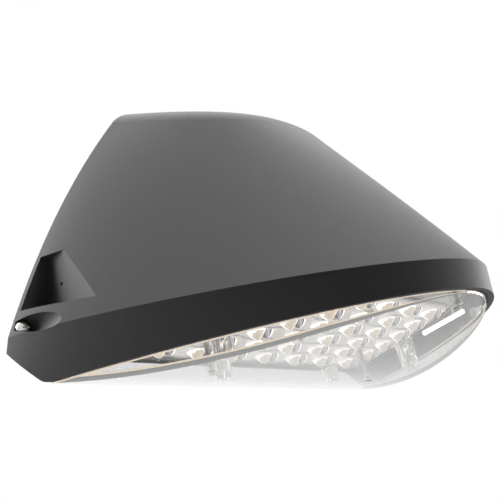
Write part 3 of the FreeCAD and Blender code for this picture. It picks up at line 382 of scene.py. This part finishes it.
# The ribs glow a painted mid grey.
paint(rib_link.faces, layer, lambda centre: PAINTED_MIDDLE_SHADE)
link_places = []
for row in range(len(OPTIC_ROWS)):
    forward = ROW_START + (row - 0.5) * ROW_PITCH
    half = board_half(forward) - RIB_MARGIN
    for step in range(RIB_STEPS):
        start, end = (-half + 2.0 * half * (step + side) / RIB_STEPS for side in (0, 1))
        wave = RIB_WAVE * math.sin(start / RIB_WAVE_RUN + row)
        drift = RIB_WAVE * math.sin(end / RIB_WAVE_RUN + row) - wave
        length = math.hypot(end - start, drift) * RIB_OVERLAP
        middle = on_deck((start + end) / 2.0, forward + wave + drift / 2.0, SHEET_FACE - RIB_DROP)
        link_places.append(middle @ Matrix.Rotation(math.atan2(drift, end - start), 4, "Z")
                           @ Matrix.Diagonal((length, *RIB_SECTION, 1.0)))
repeat(moulding, rib_link, link_places)

# The acrylic is no lamp: it glows with the painted light of its facets, varied by a painted shimmer.
acrylic, tree, shader = new_material("acrylic_painted_light", (0.05, 0.05, 0.05), roughness=0.15, specular=0.4)
facets = tree.nodes.new("ShaderNodeVertexColor")
facets.layer_name = "glow"
painted_light_shimmer = tree.nodes.new("ShaderNodeMapRange")
painted_light_shimmer.inputs["From Min"].default_value = 0.3
painted_light_shimmer.inputs["From Max"].default_value = 0.7
painted_light_shimmer.inputs["To Min"].default_value = 0.86
painted_light_shimmer.inputs["To Max"].default_value = 1.12
tree.links.new(noise_of(tree, scale=230.0, detail=3.0).outputs["Fac"], painted_light_shimmer.inputs["Value"])
lit = tree.nodes.new("ShaderNodeVectorMath")
lit.operation = "SCALE"
tree.links.new(facets.outputs["Color"], lit.inputs[0])
tree.links.new(painted_light_shimmer.outputs["Result"], lit.inputs["Scale"])
tree.links.new(lit.outputs["Vector"], shader.inputs["Emission Color"])
shader.inputs["Emission Strength"].default_value = 1.0
bumped(tree, shader, noise_of(tree, scale=160.0), strength=0.15, depth=0.0004)
optics = new_piece("optic_moulding", moulding, acrylic, "housing", smooth=False)
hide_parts("optic_sheet")


# ---- White sleeved lead -------------------------------------------------------------------------
# A lead in a white silicone sleeve runs along the right front edge of the board, held off the deck
# by two thin grey pegs near its front end. The sleeve's white glow is painted light, standing for
# the optics' light that it catches, and the pegs glow with faint painted stray light.
LEAD_START = (101.0, 132.0)               # across and forward, in millimetres
LEAD_END = (78.0, 181.0)
SLEEVE_RADIUS = 2.1
SLEEVE_HEIGHT = 9.0
BEAD_GROWTH = 1.12                       # the sleeve's rounded end over its radius
PEG_RADIUS = 1.1
PEG_SHARES = (0.78, 0.98)                # of the lead's length
DECK_FACE = 21.5
sleeve_mesh = bmesh.new()
run = (LEAD_END[0] - LEAD_START[0], LEAD_END[1] - LEAD_START[1])
middle = on_deck(LEAD_START[0] + run[0] / 2.0, LEAD_START[1] + run[1] / 2.0, SLEEVE_HEIGHT)
along = Matrix.Rotation(math.atan2(run[1], run[0]), 4, "Z") @ Matrix.Rotation(math.pi / 2, 4, "Y")
bmesh.ops.create_cone(sleeve_mesh, cap_ends=True, segments=20, radius1=SLEEVE_RADIUS,
                      radius2=SLEEVE_RADIUS, depth=math.hypot(*run), matrix=middle @ along)
bmesh.ops.create_uvsphere(sleeve_mesh, u_segments=20, v_segments=12,
                          radius=SLEEVE_RADIUS * BEAD_GROWTH,
                          matrix=on_deck(*LEAD_START, SLEEVE_HEIGHT))
peg_mesh = bmesh.new()
for share in PEG_SHARES:
    across, forward = LEAD_START[0] + run[0] * share, LEAD_START[1] + run[1] * share
    bmesh.ops.create_cone(peg_mesh, cap_ends=True, segments=12, radius1=PEG_RADIUS,
                          radius2=PEG_RADIUS, depth=DECK_FACE - SLEEVE_HEIGHT,
                          matrix=on_deck(across, forward, (DECK_FACE + SLEEVE_HEIGHT) / 2.0))

SLEEVE_LIGHT = (1.0, 0.98, 0.94)
sleeve, tree, shader = new_material("white_sleeve", (0.85, 0.84, 0.82), roughness=0.5)
# Painted light: the sleeve glows white though it is no lamp.
glowing(shader, SLEEVE_LIGHT, strength=1.6)
varied_color(tree, shader, noise_of(tree, scale=400.0),
             low=(0.78, 0.77, 0.74), high=(0.9, 0.89, 0.87))
sleeved = new_piece("sleeved_lead", sleeve_mesh, sleeve, "housing")

STRAY_LIGHT = (0.22, 0.22, 0.21)
peg_plastic, tree, shader = new_material("grey_nylon", (0.3, 0.3, 0.3), roughness=0.4)
# Painted stray light: the pegs glow faintly though they are no lamp.
glowing(shader, STRAY_LIGHT)
varied_color(tree, shader, noise_of(tree, scale=500.0),
             low=(0.26, 0.26, 0.26), high=(0.36, 0.36, 0.35))
pegs = new_piece("lead_pegs", peg_mesh, peg_plastic, "housing")


# ---- Drop lens ----------------------------------------------------------------------------------
# The lens is moulded from clear polycarbonate about 2.5 mm thick, with screw posts and locating
# ribs inside. Its wall is clear, and its floor, which is seen at a low angle, mirrors the white
# surroundings as a pale veil.
LENS_TINT = (0.92, 0.92, 0.92)
LEAST_GLOSS = 0.035                      # share of light that a clear wall mirrors face on
GLOSS_POWER = 5.0
clear, tree, shader = new_material("clear_polycarbonate", (0.80, 0.80, 0.80), roughness=0.03, metallic=1.0)
bumped(tree, shader, noise_of(tree, scale=40.0), strength=0.04, depth=0.0003)
edge_on = tree.nodes.new("ShaderNodeLayerWeight")
edge_on.inputs["Blend"].default_value = 0.5
steep = tree.nodes.new("ShaderNodeMath")
steep.operation = "POWER"
steep.inputs[1].default_value = GLOSS_POWER
gloss = tree.nodes.new("ShaderNodeMapRange")
gloss.inputs["To Min"].default_value = LEAST_GLOSS
gloss.inputs["To Max"].default_value = 1.0
through = tree.nodes.new("ShaderNodeBsdfTransparent")
through.inputs["Color"].default_value = (*LENS_TINT, 1.0)
gloss_mix = tree.nodes.new("ShaderNodeMixShader")
tree.links.new(edge_on.outputs["Facing"], steep.inputs[0])
tree.links.new(steep.outputs["Value"], gloss.inputs["Value"])
tree.links.new(gloss.outputs["Result"], gloss_mix.inputs["Fac"])
tree.links.new(through.outputs["BSDF"], gloss_mix.inputs[1])
tree.links.new(shader.outputs["BSDF"], gloss_mix.inputs[2])
tree.links.new(gloss_mix.outputs["Shader"], tree.nodes["Material Output"].inputs["Surface"])
finish("drop_lens", clear)


# ---- Lens pillars -------------------------------------------------------------------------------
# Two thick clear pillars stand between the lens floor and the board and keep the lens from
# bowing, and two short ones stand on the floor behind them. The upright grey, beige and white
# streaks that their fluted sides break the light into are painted light: a glow with painted
# white glints on plain round pillars.
PILLAR_DRAFT = 1.5
# Across, forward, radius at the floor, and the heights of both ends, in millimetres.
PILLARS = ((130.0, 95.0, 8.8, -10.8, 17.2), (74.0, 46.0, 7.2, -8.4, 4.0))
UPRIGHT_STREAKS = (1.0, 1.0, 0.25)
PAINTED_LIGHT_STREAKS = ((0.42, (0.17, 0.17, 0.17)), (0.52, (0.36, 0.355, 0.34)), (0.565, (0.72, 0.62, 0.50)),
           (0.60, (1.2, 1.17, 1.1)))
pillar_mesh = bmesh.new()
for across, forward, radius, low, high in PILLARS:
    for side in (-1.0, 1.0):
        bmesh.ops.create_cone(pillar_mesh, cap_ends=True, segments=40, radius1=radius,
                              radius2=radius - PILLAR_DRAFT, depth=high - low,
                              matrix=on_deck(side * across, forward, (low + high) / 2.0))
fluted, tree, shader = new_material("polycarbonate_painted_streaks", (0.25, 0.25, 0.25), roughness=0.1)
streak_noise = noise_of(tree, scale=420.0, detail=5.0, stretch=UPRIGHT_STREAKS)
streak_noise.inputs["Distortion"].default_value = 1.6
streak_light = ramp_of(tree, streak_noise, PAINTED_LIGHT_STREAKS)
streak_light.color_ramp.interpolation = "EASE"
# Painted light: the streaks and glints glow on the pillars' sides.
tree.links.new(streak_light.outputs["Color"], shader.inputs["Emission Color"])
shader.inputs["Emission Strength"].default_value = 1.0
pillars = new_piece("lens_pillars", pillar_mesh, fluted, "housing")


# ---- Lens edge ----------------------------------------------------------------------------------
# Where the lens's wall turns into its floor, the moulding is solid and seen along its length: a
# grey line with a warm white line of light above it. A like line shows under the casting's band,
# where the glow leaks out over the top of the wall. All three lines are painted light on thin
# glowing strips set along the lens's outline: a painted grey line and two painted highlights.
BAND_HALF_WIDTH = 218.4
BAND_DEPTH = 258.9
LENS_INSET = 6.1                         # band's outline to the lens's
LENS_HALF_WIDTH = BAND_HALF_WIDTH - LENS_INSET
LENS_DEPTH = BAND_DEPTH - LENS_INSET
LENS_SHARE = LENS_DEPTH / BAND_DEPTH
FLANK_REACH = 33.0                       # how far the flanks run on straight, and the nose
NOSE_REACH = 98.1
LENS_POLES = ((-LENS_HALF_WIDTH, 0.0), (-LENS_HALF_WIDTH, -FLANK_REACH * LENS_SHARE),
              (-NOSE_REACH * LENS_SHARE, -LENS_DEPTH), (0.0, -LENS_DEPTH))
LENS_REAR = -35.0
LENS_FLOOR_SAG = 15.1
OUTLINE_STEPS = 64
EDGE_THICKNESS = 0.3
GREY_INSET = 0.5                         # lens's outline to each line
LIGHT_INSET = 0.6
RIM_INSET = 0.3
EDGE_LIFT = 0.3                          # lens floor's outside to the grey line
GREY_LINE = 3.2
LIGHT_GAP = 0.1                          # grey line to the line of light above it
LIGHT_LINE = 1.4
RIM_LINE_UP = 0.4
RIM_LINE_DOWN = 0.7
LOWEST = 0.1                             # over the casting's lowest point
NARROWING_START = 190.0                  # from the wall to where the lines grow narrower
NARROWING_RUN = 60.0
NARROWING = 0.75


def lens_outline(gap):
    """Points of the lens's outline, drawn in by a gap, from the left rear end to the right one."""
    left = []
    for step in range(OUTLINE_STEPS + 1):
        t = step / OUTLINE_STEPS
        weights = ((1 - t) ** 3, 3 * t * (1 - t) ** 2, 3 * t * t * (1 - t), t ** 3)
        x = sum(weight * pole[0] for weight, pole in zip(weights, LENS_POLES))
        y = sum(weight * pole[1] for weight, pole in zip(weights, LENS_POLES))
        if y < LENS_REAR:
            left.append((x * (1 - gap / LENS_HALF_WIDTH), y * (1 - gap / LENS_DEPTH)))
    return left + [(-x, y) for x, y in reversed(left[:-1])]


def mouth_height(y):
    """Height of the mouth plane over the casting's lowest point."""
    return math.tan(MOUTH_TILT) * (-y + MOUTH_START[1])


def floor_height(y):
    """Height of the lens floor's outside at its wall."""
    share = (-y + MOUTH_START[1]) / (BAND_DEPTH + MOUTH_START[1])
    return mouth_height(y) - 4.0 * LENS_FLOOR_SAG * share * (1.0 - share)


def taper(y):
    """1 along the flanks, and down to a quarter at the nose."""
    return 1.0 - NARROWING * max(0.0, min(1.0, (-y - NARROWING_START) / NARROWING_RUN))


def grey_top(y):
    """Height of the grey line's upper side."""
    return floor_height(y) + EDGE_LIFT + GREY_LINE * taper(y)


def edge_strip(name, material, gap, low, high):
    """A thin upright strip along the lens's outline, between two heights that follow it."""
    strip = bmesh.new()
    lower = [strip.verts.new((x / 1000.0, y / 1000.0, (low(y) + MOUTH_START[2]) / 1000.0))
             for x, y in lens_outline(gap)]
    edges = [strip.edges.new(pair) for pair in zip(lower, lower[1:])]
    raised = bmesh.ops.extrude_edge_only(strip, edges=edges)["geom"]
    for vert in (item for item in raised if isinstance(item, bmesh.types.BMVert)):
        vert.co.z = (high(vert.co.y * 1000.0) + MOUTH_START[2]) / 1000.0
    bmesh.ops.recalc_face_normals(strip, faces=strip.faces)
    bmesh.ops.solidify(strip, geom=strip.faces[:], thickness=EDGE_THICKNESS / 1000.0)
    piece = new_piece(name, strip, material, "housing")


PAINTED_EDGE_GREY = (0.27, 0.27, 0.27)
painted_grey_line, tree, shader = new_material("painted_grey_line_light", (0.12, 0.12, 0.12), roughness=0.2)
varied_color(tree, shader, noise_of(tree, scale=50.0),
             low=(0.10, 0.10, 0.10), high=(0.16, 0.16, 0.155))
# Painted light: the grey line glows though it is no lamp.
glowing(shader, PAINTED_EDGE_GREY)
edge_strip("lens_painted_grey_line", painted_grey_line, GREY_INSET, lambda y: floor_height(y) + EDGE_LIFT, grey_top)

EDGE_LIGHT = (0.95, 0.80, 0.64)
light_line, tree, shader = new_material("painted_edge_light", (0.5, 0.45, 0.4), roughness=0.3)
# Painted highlights: the warm lines of light glow though they are no lamp.
glowing(shader, EDGE_LIGHT, strength=0.75)
varied_color(tree, shader, noise_of(tree, scale=120.0),
             low=(0.4, 0.36, 0.32), high=(0.6, 0.55, 0.5))
edge_strip("lens_edge_light", light_line, LIGHT_INSET, lambda y: grey_top(y) + LIGHT_GAP,
           lambda y: grey_top(y) + LIGHT_GAP + LIGHT_LINE * taper(y))
edge_strip("lens_rim_light", light_line, RIM_INSET,
           lambda y: max(LOWEST, mouth_height(y) - RIM_LINE_DOWN * taper(y)),
           lambda y: mouth_height(y) + RIM_LINE_UP)


# ---- Reflector film -----------------------------------------------------------------------------
# A pale satin film is stuck to the deck round the board, out to the lens's wall, and sends stray
# light back down. It is cut out round the board with a small gap, and glows faintly with painted
# stray light.
FILM_INSET = 9.0
FILM_HEIGHT = 21.2
CUTOUT_GROWTH = 1.012
CUTOUT_GAP = 1.5
BOARD_MIDDLE = 100.0
film_rim = [(x, (MOUTH_START[1] - y + FILM_HEIGHT * math.sin(MOUTH_TILT)) / math.cos(MOUTH_TILT))
            for x, y in lens_outline(FILM_INSET)]
cutout = [(across * CUTOUT_GROWTH, forward + (CUTOUT_GAP if forward > BOARD_MIDDLE else -CUTOUT_GAP))
          for across, forward in SHEET_CORNERS]
film_mesh = bmesh.new()
for outline in (film_rim, cutout):
    verts = [film_mesh.verts.new(on_deck(across, forward, FILM_HEIGHT).translation)
             for across, forward in outline]
    for pair in zip(verts, verts[1:] + verts[:1]):
        film_mesh.edges.new(pair)
bmesh.ops.triangle_fill(film_mesh, use_beauty=True, use_dissolve=False, edges=film_mesh.edges[:])
film, tree, shader = new_material("reflector_film", (0.5, 0.5, 0.49), roughness=0.5)
varied_color(tree, shader, noise_of(tree, scale=40.0),
             low=(0.45, 0.45, 0.44), high=(0.55, 0.55, 0.54))
# Painted stray light: the film glows faintly though it is no lamp.
glowing(shader, STRAY_LIGHT)
film_piece = new_piece("reflector_film", film_mesh, film, "housing", smooth=False)


# ---- Lens gasket --------------------------------------------------------------------------------
# A strip of pale silicone lies between the lens's top edge and the deck. It is translucent and
# matt, and it catches some of the light.
silicone, tree, shader = new_material("pale_silicone", (0.6, 0.58, 0.55), roughness=0.7)
bumped(tree, shader, noise_of(tree, scale=500.0), strength=0.2, depth=0.0001)
finish("lens_gasket", silicone)


# ---- Driver, surge protector, terminal block and leads ------------------------------------------
# They sit on the deck behind the housing's crown: an aluminium-cased driver, a potted black surge
# protector, a grey terminal block, a white board connector and insulated leads.
PLASTICS = (("surge_protector", (0.03, 0.03, 0.035)), ("terminal_block", (0.45, 0.45, 0.45)),
            ("board_connector", (0.75, 0.73, 0.68)), ("input_leads", (0.03, 0.03, 0.035)),
            ("output_leads", (0.45, 0.03, 0.02)))
case, tree, shader = new_material("driver_case", (0.55, 0.56, 0.58), roughness=0.4, metallic=1.0)
varied_roughness(tree, shader, noise_of(tree, scale=80.0), low=0.3, high=0.5)
finish("driver", case)
for node, color in PLASTICS:
    plastic, tree, shader = new_material(node + "_plastic", color, roughness=0.45)
    bumped(tree, shader, noise_of(tree, scale=400.0), strength=0.2, depth=0.0001)
    finish(node, plastic)


# ---- Studio -------------------------------------------------------------------------------------
# A wide pale floor well below the light, a soft white world behind it, and large soft lamps all
# round. The floor and the world are pure white to the camera, in gloss and through glass.
FLOOR_HEIGHT = -2.5
FLOOR_HALF = 40.0
WORLD_STRENGTH = 0.01
LAMP_TARGET = Vector((0.0, -0.1, 0.0))
LAMP_DISTANCE = 1.6
LAMP_SIZE = 1.2
# Name, azimuth and elevation in degrees, and watts; azimuth 0 stands in front of the light.
LAMPS = (("back_lamp", 180.0, 60.0, 22.5), ("top_right_lamp", 90.0, 70.0, 36.0),
         ("right_lamp", 60.0, 10.0, 50.0), ("rear_left_lamp", -150.0, 20.0, 51.5),
         ("left_lamp", -135.0, 0.0, 7.4))
floor_mesh = bmesh.new()
bmesh.ops.create_grid(floor_mesh, x_segments=1, y_segments=1, size=FLOOR_HALF)
bmesh.ops.translate(floor_mesh, verts=floor_mesh.verts, vec=(0.0, 0.0, FLOOR_HEIGHT))
mesh = bpy.data.meshes.new("studio_floor")
floor_mesh.to_mesh(mesh)
floor_mesh.free()
floor = bpy.data.objects.new("studio_floor", mesh)
bpy.context.scene.collection.objects.link(floor)


def white_where_seen(tree, shade, outlet):
    """Shows pure white to the camera, to gloss and through glass, and the shade to other rays."""
    path = tree.nodes.new("ShaderNodeLightPath")
    white = tree.nodes.new("ShaderNodeEmission")
    either = tree.nodes.new("ShaderNodeMath")
    either.operation = "MAXIMUM"
    seen = tree.nodes.new("ShaderNodeMath")
    seen.operation = "MAXIMUM"
    mix = tree.nodes.new("ShaderNodeMixShader")
    tree.links.new(path.outputs["Is Camera Ray"], either.inputs[0])
    tree.links.new(path.outputs["Is Transmission Ray"], either.inputs[1])
    tree.links.new(either.outputs["Value"], seen.inputs[0])
    tree.links.new(path.outputs["Is Glossy Ray"], seen.inputs[1])
    tree.links.new(seen.outputs["Value"], mix.inputs["Fac"])
    tree.links.new(shade, mix.inputs[1])
    tree.links.new(white.outputs["Emission"], mix.inputs[2])
    tree.links.new(mix.outputs["Shader"], outlet)


pale, tree, shader = new_material("pale_floor", (0.6, 0.6, 0.6), roughness=0.9)
white_where_seen(tree, shader.outputs["BSDF"], tree.nodes["Material Output"].inputs["Surface"])
floor.data.materials.append(pale)

world = bpy.data.worlds.new("studio")
world.use_nodes = True
tree = world.node_tree
background = tree.nodes["Background"]
background.inputs["Color"].default_value = (1.0, 1.0, 1.0, 1.0)
background.inputs["Strength"].default_value = WORLD_STRENGTH
white_where_seen(tree, background.outputs["Background"], tree.nodes["World Output"].inputs["Surface"])
bpy.context.scene.world = world

for name, azimuth, elevation, power in LAMPS:
    lamp = bpy.data.lights.new(name, "AREA")
    lamp.shape = "SQUARE"
    lamp.size = LAMP_SIZE
    lamp.energy = power
    lamp_object = bpy.data.objects.new(name, lamp)
    turn, rise = math.radians(azimuth), math.radians(elevation)
    toward = Vector((math.sin(turn) * math.cos(rise), -math.cos(turn) * math.cos(rise),
                     math.sin(rise)))
    lamp_object.location = LAMP_TARGET + toward * LAMP_DISTANCE
    lamp_object.rotation_euler = (-toward).to_track_quat("-Z", "Y").to_euler()
    bpy.context.scene.collection.objects.link(lamp_object)


# ---- Camera -------------------------------------------------------------------------------------
# It stands where the photograph was taken from, low and to the left of the light, and looks a
# little upwards. Its field of view is the photograph's.
CAMERA_PLACE = (-0.60567, -0.52677, -0.12488)
CAMERA_AZIMUTH = 51.53           # degrees from +Y towards +X
CAMERA_PITCH = 9.54
CAMERA_ROLL = -0.07
FOCAL_PIXELS = 907.65
PHOTO_PIXELS = 500.0
SENSOR = 36.0
camera_data = bpy.data.cameras.new("camera")
camera_data.sensor_width = SENSOR
camera_data.lens = SENSOR * FOCAL_PIXELS / PHOTO_PIXELS
camera_data.clip_start = 0.01
camera = bpy.data.objects.new("camera", camera_data)
aim = (Matrix.Rotation(math.radians(-CAMERA_AZIMUTH), 4, "Z")
       @ Matrix.Rotation(math.radians(90.0 + CAMERA_PITCH), 4, "X")
       @ Matrix.Rotation(math.radians(CAMERA_ROLL), 4, "Z"))
camera.matrix_world = Matrix.Translation(CAMERA_PLACE) @ aim
bpy.context.scene.collection.objects.link(camera)
bpy.context.scene.camera = camera
bpy.context.scene.view_settings.view_transform = "Standard"
